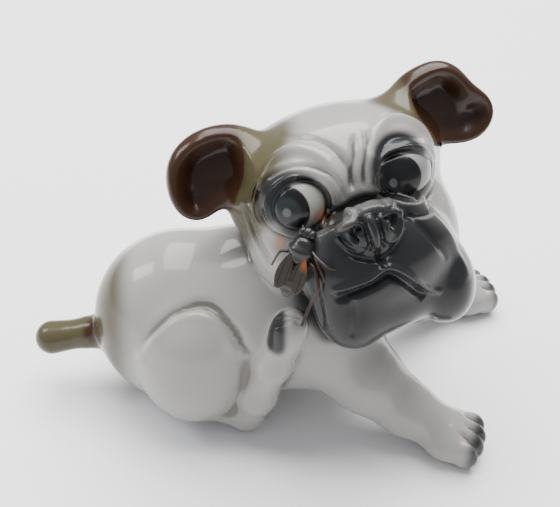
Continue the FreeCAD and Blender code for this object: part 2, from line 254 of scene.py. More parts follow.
# The balls are joined and remeshed into one rough skin, whose points then settle onto the clay
deselect()
lumps = [lump_start(*lump) for lump in (*TORSO.values(), *HAUNCHES.values(), RAISED_FOOT, LEFT_SHANK)]
for stretch in (NECK, *sum(LIMBS.values(), [])):
    lumps += limb_start(*stretch)
for centre, heading, (length, width, height) in PAWS.values():
    turn = turn_about("Z", heading)  # each ball is drawn out ahead to take in the toes
    lumps.append(lump_start(np.array(centre) + turn @ (2, 0, 0), (length + 2.5, width, height), turn))
on_head = [*HEAD.values(), *MUZZLE.values(), NOSE, *EARS["right"], *EARS["left"]]
on_head += [(centre, (EYE_RADIUS,) * 3) for centre in EYES.values()]
for centre, half_axes in on_head:
    lumps.append(lump_start(from_head(centre), half_axes, HEAD_TURN))
deselect()
for lump in lumps:
    lump.select_set(True)
bpy.context.view_layer.objects.active = lumps[0]
bpy.ops.object.join()
figure = bpy.context.object
figure.name = "luted_figure"
remesh = figure.modifiers.new("one_skin", "REMESH")
remesh.mode, remesh.voxel_size = "VOXEL", SKIN_STEP
bpy.ops.object.modifier_apply(modifier=remesh.name)


def vertices_of(mesh):
    flat = np.empty(len(mesh.vertices) * 3)
    mesh.vertices.foreach_get("co", flat)
    return flat.reshape(-1, 3)


def dot(a, b):
    """Products of two lists of vectors, pair by pair."""
    return np.einsum("ij,ij->i", a, b)


def settle(points, rounds):
    """Moves points onto the surface of the figure along its steepest way."""
    step = 0.02
    for _ in range(rounds):
        value = whole_clay(points)
        slope = np.stack([(whole_clay(points + step * axis) - value) / step for axis in np.eye(3)], 1)
        move = value[:, None] * slope / np.maximum(dot(slope, slope), 0.2)[:, None]
        points = points - np.clip(move, -2.5, 2.5)
    return points


figure_points = settle(vertices_of(figure.data), 5)
figure.data.vertices.foreach_set("co", figure_points.ravel())
figure.data.update()

# The face and ears carry the finest modelling, so their skin is divided once more
local = to_head(figure_points)
front_edge = np.where(np.abs(local[:, 0]) > 34, 2, -6)  # further back at the ears than on the skull
fine = ((local[:, 1] < front_edge) & (local[:, 2] > -55)
        & (figure_points[:, 2] > 50) & (figure_points[:, 0] > -20))
deselect()
figure.select_set(True)
bpy.context.view_layer.objects.active = figure
for part in (figure.data.edges, figure.data.vertices):
    part.foreach_set("select", np.zeros(len(part), bool))
fine_faces = np.array([all(fine[v] for v in face.vertices) for face in figure.data.polygons])
figure.data.polygons.foreach_set("select", fine_faces)
bpy.ops.object.mode_set(mode="EDIT")
bpy.ops.mesh.select_mode(type="FACE")
bpy.ops.mesh.subdivide(number_cuts=1)
bpy.ops.mesh.select_all(action="SELECT")
bpy.ops.mesh.quads_convert_to_tris()
bpy.ops.object.mode_set(mode="OBJECT")
skin = settle(vertices_of(figure.data), 2)
corners = np.empty(len(figure.data.polygons) * 3, int)
figure.data.polygons.foreach_get("vertices", corners)
triangles = corners.reshape(-1, 3)

# ----------------------------------------------------------------------
# Features of the face: folds, lids, nose leather and lips, cut into and laid onto the clay by hand.
# A stroke follows a line on the skin and pushes it in or out along its normal.
# ----------------------------------------------------------------------
def normals_of(points, faces):
    """Vertex normals, weighted by face area."""
    a, b, c = (points[faces[:, corner]] for corner in range(3))
    face_normals = np.cross(b - a, c - a)
    total = np.stack([sum(np.bincount(faces[:, corner], face_normals[:, axis], len(points))
                          for corner in range(3)) for axis in range(3)], 1)
    return total / np.maximum(np.linalg.norm(total, axis=1), 1e-12)[:, None]


def smooth_line(knots, steps=6, closed=False):
    """Points along a curve through the knots."""
    knots = np.array(knots, float)
    count = len(knots)
    if count == 2 and not closed:
        return np.linspace(knots[0], knots[1], steps + 1)
    around = np.arange(-1, count + 2)
    ring = knots[around % count] if closed else knots[np.clip(around, 0, count - 1)]
    spans = count if closed else count - 1
    line = []
    for span in range(spans):
        p0, p1, p2, p3 = ring[span:span + 4]
        for t in np.arange(steps) / steps:
            line.append(0.5 * (2 * p1 + (p2 - p0) * t + (2 * p0 - 5 * p1 + 4 * p2 - p3) * t ** 2
                               + (3 * p1 - p0 - 3 * p2 + p3) * t ** 3))
    line.append(ring[spans + 1] if not closed else line[0])
    return np.array(line)


def line_distance(points, line):
    """Distance to a chain of points, and how far along it, from 0 to 1."""
    best, where = np.full(len(points), 1e9), np.zeros(len(points))
    for number in range(len(line) - 1):
        start, span = line[number], line[number + 1] - line[number]
        along = np.clip((points - start) @ span / max(span @ span, 1e-9), 0, 1)
        gap = ((points - start - along[:, None] * span) ** 2).sum(1)
        closer = gap < best
        best[closer] = gap[closer]
        where[closer] = (number + along[closer]) / (len(line) - 1)
    return np.sqrt(best), where


class Face:
    """The skin seen from in front of the face, in the head's upright frame."""

    def __init__(self, points, faces):
        self.tree = BVHTree.FromPolygons(points.tolist(), faces.tolist())

    def at(self, across, up):
        """The point of the face that lies behind (across, up)."""
        hit = self.tree.ray_cast(Vector((across, -90, up)), Vector((0, 1, 0)))[0]
        return np.array(hit) if hit else np.array((across, -20.0, up))

    def line(self, knots, closed=False):
        flat = smooth_line([(x, 0, z) for x, z in knots], 5, closed)
        line = np.array([self.at(x, z) for x, _, z in flat])
        for _ in range(3):  # the hand does not follow every step in the skin
            line[1:-1, 1] = (line[:-2, 1] + 2 * line[1:-1, 1] + line[2:, 1]) / 4
        return from_head(line)


def stroke(points, line, height, width, tip=0.25):
    """A ridge (height above 0) or groove along the line, fading over the share tip at each end."""
    low, high = line.min(0) - 3 * width, line.max(0) + 3 * width
    near = np.flatnonzero(((points > low) & (points < high)).all(1))
    gap, where = line_distance(points[near], line)
    fade = np.ones(len(near)) if tip == 0 else np.clip(np.minimum(where, 1 - where) / tip, 0, 1)
    return near, height * np.exp(-(gap / width) ** 2) * np.sin(fade * math.pi / 2)


def press(points, strokes):
    """Makes a pass of strokes at once, each a line, height and width, and perhaps a tip."""
    push = np.zeros(len(points))
    for line, height, width, *tip in strokes:
        near, amount = stroke(points, line, height, width, *tip)
        push[near] += amount
    return points + push[:, None] * normals_of(points, triangles)


def oval(centre, across, up, tilt=0.0, first=0.0, last=360.0):
    """Knots around an oval on the face, in degrees from the puppy's left, upwards."""
    closed = last - first >= 360
    angles = np.radians(np.linspace(first, last, 18, endpoint=not closed))
    c, s = math.cos(math.radians(tilt)), math.sin(math.radians(tilt))
    flat = [(across * math.cos(a), up * math.sin(a)) for a in angles]
    return [(centre[0] + x * c - z * s, centre[1] + x * s + z * c) for x, z in flat]


def soft(value, low, high):
    """A smooth step from 0 at low to 1 at high."""
    t = np.clip((value - low) / (high - low), 0, 1)
    return t * t * (3 - 2 * t)


# Eye openings: middle, half width, half height and tilt. The right eye looks down at the fly from
# under folded lids; the left lid is drawn up into a wide arch.
OPENINGS = {"right": ((-20.8, 7.2), 9.4, 8.6, 0), "left": ((18.3, 7.4), 11.2, 7.6, -8)}
local = to_head(skin)
face = Face(local, triangles)
folds = {
    "right lids": (face.line(oval((-20.8, 7.5), 13.2, 12.4), True), 1.5, 2.6, 0),
    "fold over the right lids": (face.line([(-33.5, -1), (-33.8, 9), (-27, 21.5), (-17, 26), (-9, 21), (-5.5, 11),
                                            (-8, 2)]), 1.6, 2.4),
    "right brow": (face.line([(-18, 30), (-7, 25.5), (-1.8, 15), (-3, 5)]), -1.0, 1.5),
    "right cheek": (face.line([(-37, 10), (-37, -2), (-34, -14)]), -1.0, 2.0),
    "left lids": (face.line(oval((18.3, 7.4), 14.2, 10.8, -8), True), 1.3, 2.4, 0),
    "arch over the left eye": (face.line([(5.5, 6), (6, 15.5), (9.5, 22), (17, 26), (25, 24.5), (31.5, 18),
                                          (34, 8)]), 1.9, 2.6),
    "hollow under the arch": (face.line([(8.5, 15.5), (16, 20), (23, 19.5), (29, 15)]), -1.8, 2.2),
    "left frown": (face.line([(8.8, 26), (6.3, 20), (3.4, 13.7), (1.8, 7.5)]), -1.4, 1.3),
    "right frown": (face.line([(4.2, 26), (1.8, 20), (-1.2, 13.5), (-2.6, 8)]), -1.2, 1.3),
    "nose roll": (face.line([(-19, -6), (-14.6, -0.5), (-8.8, 4), (-1.8, 6.5), (6.2, 5.5), (12.6, 2), (18, -4.5),
                             (23, -12.5), (28, -24), (31, -35)]), 2.0, 2.2),
    "groove under the roll": (face.line([(-15, -2.5), (-10.5, 1.5), (-2.5, 3.5), (5.5, 2.0), (11, -1.5), (15.5, -8),
                                         (19.5, -15.5), (23, -24)]), -1.7, 1.5),
    "top of the nose": (face.line([(-14.5, -6), (-11.3, 0.3), (-3.5, 3.8), (2.5, 3.2), (6.5, -0.5),
                                   (9.7, -6.9)]), 1.2, 1.5),
    "edge of the right flew": (face.line([(-24.5, -12), (-24.8, -26), (-24.5, -38)]), -1.3, 2.2),
    "cleft of the chin": (face.line([(14, -46), (17, -52), (17, -58)]), -2.2, 2.2, 0.1),
}
skin = press(skin, folds.values())

# Second pass: rims of the eyes, nose leather, nostrils and lips
local = to_head(skin)
face = Face(local, triangles)
details = {
    "right eye's edge": (face.line(oval((-20.8, 7.2), 9.9, 9.1), True), -1.3, 0.9, 0),
    "right eye's rim": (face.line(oval((-20.8, 7.2), 11.3, 10.5), True), 0.9, 0.9, 0),
    "crease over the right eye": (face.line(oval((-20.8, 7.6), 14.6, 13.8, 0, -30, 215)), -1.1, 1.1),
    "left eye's edge": (face.line(oval((18.3, 7.4), 11.7, 8.1, -8), True), -1.3, 0.9, 0),
    "left eye's rim": (face.line(oval((18.3, 7.4), 12.9, 9.4, -8), True), 0.9, 0.9, 0),
    "crease under the left eye": (face.line(oval((18.3, 6.6), 15.6, 12.2, -8, 190, 350)), -0.8, 1.0),
    "nose ridge": (face.line([(-3.9, 3.2), (-3.6, -2.5), (-3.0, -9)]), 1.3, 1.4, 0.15),
    "right of the ridge": (face.line([(-6.3, 3.2), (-5.9, -3), (-5.2, -10)]), -1.7, 0.9, 0.15),
    "left of the ridge": (face.line([(-1.1, 3.2), (-1.0, -3), (-0.5, -10)]), -1.7, 0.9, 0.15),
    "right nostril": (face.line([(-7.0, -1.2), (-9.4, -1.0), (-10.6, -3.6), (-9.0, -5.6)]), -2.8, 1.2, 0.2),
    "left nostril": (face.line([(0.8, 0.8), (3.4, 0.6), (4.6, -2.2), (2.6, -4.4)]), -2.8, 1.2, 0.2),
    "right nostril's wing": (face.line([(-8, 1.8), (-12.0, 0.6), (-13.4, -4.0), (-10.5, -8.4), (-7.0, -9.0)]),
                             1.1, 1.2),
    "left nostril's wing": (face.line([(0.5, 3.2), (5.0, 2.6), (7.2, -2.4), (4.8, -7.0), (1.5, -9.0)]), 1.1, 1.2),
    "under the nose": (face.line([(-13.5, -8.5), (-8.5, -11.8), (-3.5, -13.5), (1.5, -12.5), (6.5, -9.5)]),
                       -1.2, 1.2),
    "cleft of the lip": (face.line([(-3.3, -10.5), (-2.2, -17.0)]), -1.3, 0.9, 0.15),
    "upper lip": (face.line([(-21, -21.5), (-13, -20.2), (-7, -19.0), (-1.6, -16.8), (2.5, -19.0), (8, -25),
                             (13.5, -31.5), (19, -36)]), 1.3, 1.2, 0.12),
    "mouth": (face.line([(-20, -25.0), (-12, -23.4), (-6.5, -22.3), (-1.6, -20.4), (1.8, -22.2), (6.5, -28),
                         (12, -35)]), -2.6, 1.6, 0.12),
    "right fold of the chin": (face.line([(-14.0, -26), (-15, -34), (-17, -41)]), -0.9, 1.4),
}
skin = press(skin, details.values())

# ----------------------------------------------------------------------
# Toes and thigh: three grooves part the toes of each paw, running over its front and down to the
# table, and a fold parts the right thigh from the belly. They are cut in the damp clay.
# ----------------------------------------------------------------------
surface = BVHTree.FromPolygons(skin.tolist(), triangles.tolist())


def laid(knots):
    """The nearest points of the skin to the knots."""
    return [surface.find_nearest(Vector(knot))[0] for knot in knots]


cuts = []
GROOVE_PATH = [(0.30, 1.0), (0.75, 0.8), (1.12, 0.35), (1.2, -0.2), (1.2, -0.8)]  # ahead and up, in half sizes
for centre, heading, (length, width, height) in PAWS.values():
    turn = turn_about("Z", heading)
    for across in (-0.52, 0.0, 0.52):
        reach = 1.0 - 0.10 * abs(across)
        knots = [np.array(centre) + turn @ (length * reach * ahead, width * across * (0.75 + 0.25 * ahead), height * up)
                 for ahead, up in GROOVE_PATH]
        cuts.append((smooth_line(laid(knots), 5), -1.5, 1.0, 0.2))
# On the raised foot they curve over the pad, from the sole to the tips
toe_middle, (_, toe_width, toe_height), toe_turn = RAISED_FOOT
PAD_BULGE, GROOVE_SPREAD = 7.48, 4
for side in (-0.45, 0.1, 0.6):
    knots = [np.array(toe_middle, float) + toe_turn @ (
        PAD_BULGE * math.sin(angle) - 0.5, toe_width * side - GROOVE_SPREAD * (1 - abs(side)) * math.cos(angle),
        toe_height * math.cos(angle)) for angle in np.radians((-70, -35, 0, 30))]
    cuts.append((smooth_line(laid(knots), 5), -1.1, 0.9, 0.2))

# The fold around the right thigh, and the thigh's taut upper edge a few millimetres inside it
for drop, height, width in ((0, -2.2, 2.4), (5, 1.2, 3.0)):
    knots = [(-54, -50, 45 - drop), (-47, -49, 57 - drop), (-37, -47, 65.5 - drop), (-26, -47, 65.5 - drop),
             (-16.5 - drop * 0.6, -51, 56 - drop * 0.5), (-12.5 - drop, -53, 48)]
    cuts.append((smooth_line(laid(knots), 6), height, width))
skin = press(skin, cuts)

# The ears are pinched hollow at the front, with their rims rolled forward
local = to_head(skin)
outward = normals_of(local, triangles)
EAR_SIDE = {"right": -1, "left": 1}  # sign of x
EAR_DEPTH = 9.5
ear_depth = np.zeros(len(skin))
for side, lobes in EARS.items():
    flat = np.stack([local[:, 0], np.zeros(len(local)), local[:, 2]], 1)
    inset = -melt(4, *[egg(flat, (x, 0, z), half) for (x, _, z), half in lobes])
    outer = soft(np.abs(local[:, 0]), 30, 37) * (np.sign(local[:, 0]) == EAR_SIDE[side])
    front = soft(-outward[:, 1], -0.1, 0.45)
    ear_depth += outer * front * soft(inset + 0.15 * (22 - local[:, 2]), 0.8, 10.5)
skin = from_head(local + np.outer(ear_depth, (0, EAR_DEPTH, 0)))

# How hollow the skin is at each point, over about three millimetres: glaze and spray gather there, and painted shade
# greys it
edges = np.concatenate([triangles[:, [0, 1]], triangles[:, [1, 2]], triangles[:, [2, 0]]])
valence = np.bincount(edges.ravel(), minlength=len(skin))[:, None]
from_end, to_end = edges.T
eased = skin
for _ in range(EASE_ROUNDS):
    eased = np.stack([np.bincount(from_end, eased[to_end, axis], len(skin))
                      + np.bincount(to_end, eased[from_end, axis], len(skin)) for axis in range(3)], 1) / valence
hollowness = dot(eased - skin, normals_of(skin, triangles))

# ----------------------------------------------------------------------
# Airbrushed colours, under the glaze: black on the mask, lids and toes, olive about the ears, rump and tail, brown on
# the ears,
# tan by the fly. Painted shade as well: grey along the frowns, brow and cheek fold, dark in the ears' hollows and grey
# in every crease.
# Each colour's strength is kept at every point of the skin.
# ----------------------------------------------------------------------
local = to_head(skin)
normals = normals_of(skin, triangles)
x, y, z = local.T
on_face = soft(-y, 2, 12) * soft(skin[:, 2], 50, 56)


def spot(middle, radii, hard):
    """Strength of a spray centred on a point: 1 inside, fading to 0 at the radii."""
    return 1 - soft(np.sqrt((((skin - np.array(middle)) / np.array(radii)) ** 2).sum(1)), hard, 1)


def face_spot(middle, across, up, hard):
    """The same for an oval spray on the face, whatever the depth."""
    reach = np.hypot((x - middle[0]) / across, (z - middle[1]) / up)
    return (1 - soft(reach, hard, 1)) * on_face


def brush(knots, width):
    """Strength of a line drawn on the face."""
    strength = np.zeros(len(skin))
    near, amount = stroke(skin, face.line(knots), 1.0, width)
    strength[near] = amount
    return strength


face = Face(local, triangles)
MASK_MIDDLE = (-0.5, -18)
mask_height = np.where(z < MASK_MIDDLE[1], 52.0, 29.0)  # below and above its middle
mask_width = 29.0 + np.where(x > 0, 8.0, 0.0) * soft(-z, 6, 32)  # it spreads over the left flew
mask_edge = np.hypot((x - MASK_MIDDLE[0]) / mask_width, (z - MASK_MIDDLE[1]) / mask_height)
thinner_above = 1 - 0.40 * soft(mask_edge, 0.55, 0.95) * soft(z, -30, -8)
upper_left_lid = soft(z + 0.35 * (22 - x), 4, 12)
upper_right_lid = soft(z - 0.6 * (x + 21), 2, 14)
black_sprays_and_crease_shade = {
    "mask": thinner_above * (1 - soft(mask_edge, 0.84, 1.12)) * on_face,
    "haze about the mask": 0.20 * (1 - soft(mask_edge, 1.0, 1.45)) * on_face,
    "left upper lid": face_spot((16.5, 12.0), 14.5, 12.5, 0.62) * upper_left_lid,
    "left eye's inner corner": 0.75 * face_spot((6.8, 9.0), 4.5, 9, 0.3),
    "right upper lid": 0.92 * face_spot((-23.0, 9.5), 14.5, 13.0, 0.62) * upper_right_lid,
    "about the right eye": 0.45 * face_spot((-21.5, 7.0), 13.5, 12.5, 0.7),
    "about the left eye": 0.50 * face_spot((19.0, 4.5), 15, 11.0, 0.6),
    # painted shade: the next four lines darken the frown, brow and cheek grooves
    "left frown": 0.60 * brush([(8.8, 24), (6.3, 20), (3.4, 13.7), (2.5, 8)], 1.2),
    "right frown": 0.40 * brush([(4.2, 24), (1.8, 20), (-1.2, 13.5), (-2.6, 8)], 1.2),
    "right brow": 0.22 * brush([(-14, 30), (-5, 25.5), (-0.6, 15), (-2, 5)], 1.6),
    "right cheek": 0.35 * brush([(-36, 14), (-36.5, 2), (-34, -12)], 2.4),
    "raised foot's pad": 0.9 * spot((-1.0, -60.0, 66.0), (9, 9.0, 13), 0.6) * soft(-skin[:, 0], -4.5, 0.0),
}
black = np.maximum.reduce(list(black_sprays_and_crease_shade.values()))
for centre, heading, (length, _, _) in PAWS.values():
    ahead = (skin - np.array(centre)) @ (turn_about("Z", heading) @ (1.0, 0, 0))
    nearby = spot(centre, (30, 30, 20), 0.95)
    black = np.maximum(black, nearby * 0.85 * soft(ahead, length * 0.40, length))

EAR_ROOT = {"right": 34.0, "left": 37.0}  # how far the ear's brown starts from the head's middle
brown = 0.8 * spot((-77.0, -27, 35), (8, 10, 9), 0.35)  # the dark root of the tail
for side, sign in EAR_SIDE.items():
    on_ear = 1 - soft(ear_clay(side)(skin), 1.4, 4.5)
    brown = np.maximum(brown, on_ear * soft(sign * x - EAR_ROOT[side], -7.0, 1.0))
olive = np.maximum.reduce([
    spot(from_head((-38, 2, 22)), (36, 38, 38), 0.5),
    spot(from_head((42, 4, 27)), (30, 32, 28), 0.5),
    0.75 * soft(-skin[:, 0], 54, 70) * soft(skin[:, 2], -4, 10),
    0.5 * (1 - soft(tail_clay(skin), 0.5, 3.0)),
])
tan = 0.8 * face_spot((-12.5, 0.5), 4.2, 4.0, 0.2) + 0.6 * face_spot((-30.5, -4.0), 4.0, 5.5, 0.1)
tan = tan * soft(y, -36, -32)
# painted shadow inside the ears: the further a point is pressed in, the darker it is
hollow = np.clip(ear_depth, 0, 1)
# painted shade: creases and hollows are greyer the deeper they are
crease_shade = soft(hollowness, 0.04, 0.75)
paint = {"black": black, "olive": olive, "brown": brown, "tan": tan, "hollow": hollow, "crease_shade": crease_shade,
         "face_x": x, "face_y": y, "face_z": z}

# ----------------------------------------------------------------------
# Parting. The finished skin is cut along the lines where the castings were luted together, so each
# casting is a closed piece, its neighbour starts exactly where it ends and the glaze runs across.
# ----------------------------------------------------------------------
def sever(rows, faces, side):
    """Parts faces where side changes sign. Gives the rows with the new points, and both halves."""
    side = np.where(np.abs(side) < 1e-4, 1e-4, side)
    under = side[faces] < 0
    count = under.sum(1)
    mixed = (count == 1) | (count == 2)
    crossing, state = faces[mixed], under[mixed]
    lone_is_under = state.sum(1) == 1
    lone = np.where(lone_is_under, state.argmax(1), (~state).argmax(1))
    index = np.arange(len(crossing))
    a, b, c = (crossing[index, (lone + step) % 3] for step in range(3))
    pairs = np.sort(np.concatenate([np.stack([a, b], 1), np.stack([a, c], 1)]), 1)
    pairs, inverse = np.unique(pairs, axis=0, return_inverse=True)
    inverse = inverse.ravel()
    first, second = side[pairs[:, 0]], side[pairs[:, 1]]
    share = np.clip(first / (first - second), 0.02, 0.98)[:, None]
    new_rows = rows[pairs[:, 0]] * (1 - share) + rows[pairs[:, 1]] * share
    ab, ac = len(rows) + inverse[:len(a)], len(rows) + inverse[len(a):]
    tips = np.stack([a, ab, ac], 1)
    bases = np.concatenate([np.stack([ab, b, c], 1), np.stack([ab, c, ac], 1)])
    base_under = np.concatenate([~lone_is_under] * 2)
    low = np.concatenate([faces[count == 3], tips[lone_is_under], bases[base_under]])
    high = np.concatenate([faces[count == 0], tips[~lone_is_under], bases[~base_under]])
    return np.concatenate([rows, new_rows]), low, high


def largest(faces, count):
    """Splits faces into the largest connected part and the rest."""
    label = np.arange(count)
    while True:
        before = label.copy()
        low = label[faces].min(1)
        for corner in range(3):
            np.minimum.at(label, faces[:, corner], low)
        label = label[label]
        if (label == before).all():
            break
    names, sizes = np.unique(label[faces[:, 0]], return_counts=True)
    main = label[faces[:, 0]] == names[sizes.argmax()]
    return faces[main], faces[~main]


def closed_up(rows, faces):
    """Closes each opening of a casting with a fan of faces about the opening's middle."""
    edges = np.concatenate([faces[:, [0, 1]], faces[:, [1, 2]], faces[:, [2, 0]]])
    forward, backward = edges[:, 0] * len(rows) + edges[:, 1], edges[:, 1] * len(rows) + edges[:, 0]
    follows = dict(edges[~np.isin(forward, backward)].tolist())
    while follows:
        first = point = next(iter(follows))
        loop = []
        while point in follows:
            loop.append(point)
            point = follows.pop(point)
        fan = np.stack([loop[1:] + [first], loop, np.full(len(loop), len(rows))], 1)
        rows = np.concatenate([rows, rows[loop].mean(0, keepdims=True)])
        faces = np.concatenate([faces, fan])
    return rows, faces


rows = np.concatenate([skin, normals, np.stack(list(paint.values()), 1)], 1)
parted, remaining = {}, triangles
clays = {name: clay for name, (clay, _) in CASTINGS.items()}
while clays:
    name = next(iter(clays))
    own = clays.pop(name)
    used = np.unique(remaining)
    side = np.full(len(rows), 50.0)
    near = rows[used, :3]
    side[used] = own(near) - np.minimum.reduce([clay(near) for clay in (torso_clay, *clays.values())])
    rows, mine, remaining = sever(rows, remaining, side)
    mine, islands = largest(mine, len(rows))
    remaining = np.concatenate([remaining, islands])
    parted[name] = mine
parted["torso"] = remaining


MM = 0.001
TO_MIDDLE = np.array([0.53, 15.0, 0.0])  # from where the lumps are set out to the frame's origin


def casting(name):
    """Makes one casting a mesh object that stands for its CAD node.

    A row holds a point's place, its normal and the strengths of its colours.
    """
    points, faces = closed_up(rows, parted[name])
    used, faces = np.unique(faces, return_inverse=True)
    points, faces = points[used], faces.reshape(-1, 3)
    mesh = bpy.data.meshes.new(name + "_skin")
    mesh.vertices.add(len(points))
    mesh.vertices.foreach_set("co", ((points[:, :3] + TO_MIDDLE) * MM).ravel())
    mesh.loops.add(faces.size)
    mesh.loops.foreach_set("vertex_index", faces.ravel())
    mesh.polygons.add(len(faces))
    mesh.polygons.foreach_set("loop_start", np.arange(0, faces.size, 3))
    mesh.polygons.foreach_set("loop_total", np.full(len(faces), 3))
    mesh.update(calc_edges=True)
    mesh.shade_smooth()
    for column, key in enumerate(paint):
        mesh.attributes.new(key, "FLOAT", "POINT").data.foreach_set("value", points[:, 6 + column].copy())
    facing = points[:, 3:6] / np.maximum(np.linalg.norm(points[:, 3:6], axis=1), 1e-9)[:, None]
    mesh.normals_split_custom_set_from_vertices(facing.tolist())
    piece = bpy.data.objects.new(name + "_skin", mesh)
    bpy.context.collection.objects.link(piece)
    piece.data.materials.append(glaze)
    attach(piece, "root")
    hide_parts(name)


# ----------------------------------------------------------------------
# Glaze: one clear, glossy coat over the airbrushed pigments and the painted eyes of all castings.
# The white body shows through it, with painted shade greying the creases and hollows where the glaze pools; painted
# parts are a little less glossy.
# ----------------------------------------------------------------------
class Signal:
    """A shader output that can be used in arithmetic."""

    def __init__(self, shader, socket):
        self.shader, self.socket = shader, socket

    def math(self, kind, *others):
        return self.shader.node("ShaderNodeMath", self, *others, operation=kind)

    def __add__(self, other):
        return self.math("ADD", other)

    def __sub__(self, other):
        return self.math("SUBTRACT", other)

    def __rsub__(self, other):
        return self.shader.node("ShaderNodeMath", other, self, operation="SUBTRACT")

    def __mul__(self, other):
        return self.math("MULTIPLY", other)

    __radd__, __rmul__ = __add__, __mul__

    def __truediv__(self, other):
        return self.math("DIVIDE", other)

    def step(self, low, high):
        """A smooth step from 0 at low to 1 at high; low may be the larger."""
        flip = low > high
        return self.shader.node("ShaderNodeMapRange", self, min(low, high), max(low, high), float(flip),
                                float(not flip), interpolation_type="SMOOTHSTEP")


class Shader:
    """A material's node tree; node() adds a node, sets and links its inputs and gives its output."""

    def __init__(self, name):
        self.material = bpy.data.materials.new(name)
        self.material.use_nodes = True
        self.tree = self.material.node_tree
        self.principled = self.tree.nodes["Principled BSDF"]

    def put(self, socket, value):
        """Links a signal to a socket, or sets its constant; a colour may be three numbers."""
        if isinstance(value, Signal):
            self.tree.links.new(value.socket, socket)
        elif value is not None:
            socket.default_value = (*value, 1.0) if isinstance(value, tuple) else value

    def node(self, kind, *inputs, out=0, **settings):
        made = self.tree.nodes.new(kind)
        for key, value in settings.items():
            setattr(made, key, value)
        for socket, value in zip([slot for slot in made.inputs if slot.enabled], inputs):
            self.put(socket, value)
        outputs = [slot for slot in made.outputs if slot.enabled]
        return Signal(self, outputs[out] if isinstance(out, int) else made.outputs[out])

    def attribute(self, name):
        return self.node("ShaderNodeAttribute", attribute_name=name, out="Fac")

    def noise(self):
        """Noise in object coordinates. So low a lacunarity makes it drift slowly over a piece."""
        scale, detail, roughness, lacunarity = 5.0, 15.0, 1.0, 0.5
        where = self.node("ShaderNodeTexCoord", out="Object")
        return self.node("ShaderNodeTexNoise", where, scale, detail, roughness, lacunarity, out="Fac")

    def mix(self, amount, first, second):
        return self.node("ShaderNodeMix", amount, first, second, data_type="RGBA")

    def feed(self, name, value):
        self.put(self.principled.inputs[name], value)

    def bump(self, height, distance, strength):
        self.feed("Normal", self.node("ShaderNodeBump", strength, distance, None, height))


WHITE_BODY = ((0.29, 0.285, 0.265), (0.335, 0.325, 0.31))
# grey of the painted shade in creases and hollows
CREASE_SHADE_GREY = (0.115, 0.105, 0.088)
OLIVE = (0.056, 0.046, 0.017)
TAN = (0.36, 0.13, 0.035)
EAR_BROWN = ((0.024, 0.010, 0.005), (0.055, 0.023, 0.011))
# almost black: the painted shadow in the ears' hollows
EAR_HOLLOW_SHADE = (0.014, 0.006, 0.004)
SOOT = ((0.010, 0.011, 0.012), (0.021, 0.022, 0.023))
EYE_WHITE = ((0.23, 0.23, 0.205), (0.29, 0.29, 0.27))
EYE_RIM, PUPIL, CATCHLIGHT = (0.010, 0.009, 0.009), (0.006, 0.006, 0.007), (0.11, 0.12, 0.12)
# Painted eyes: place and half axes of the iris, place of its light dot, colour inside the iris, and
# the tint in one corner of the white: place, half axes, strength and colour
IRISES = {
    "right": ((-25.4, 7.4), (6.8, 8.8), (-26.6, 7.2), (0.020, 0.024, 0.026),
              ((-13.0, 1.0), (7.0, 6.5), 0.85, (0.30, 0.10, 0.035))),
    "left": ((15.4, 7.2), (7.7, 8.2), (12.6, 6.2), (0.007, 0.008, 0.009),
             ((25.0, 9.0), (6.5, 6.5), 0.6, (0.16, 0.17, 0.19))),
}


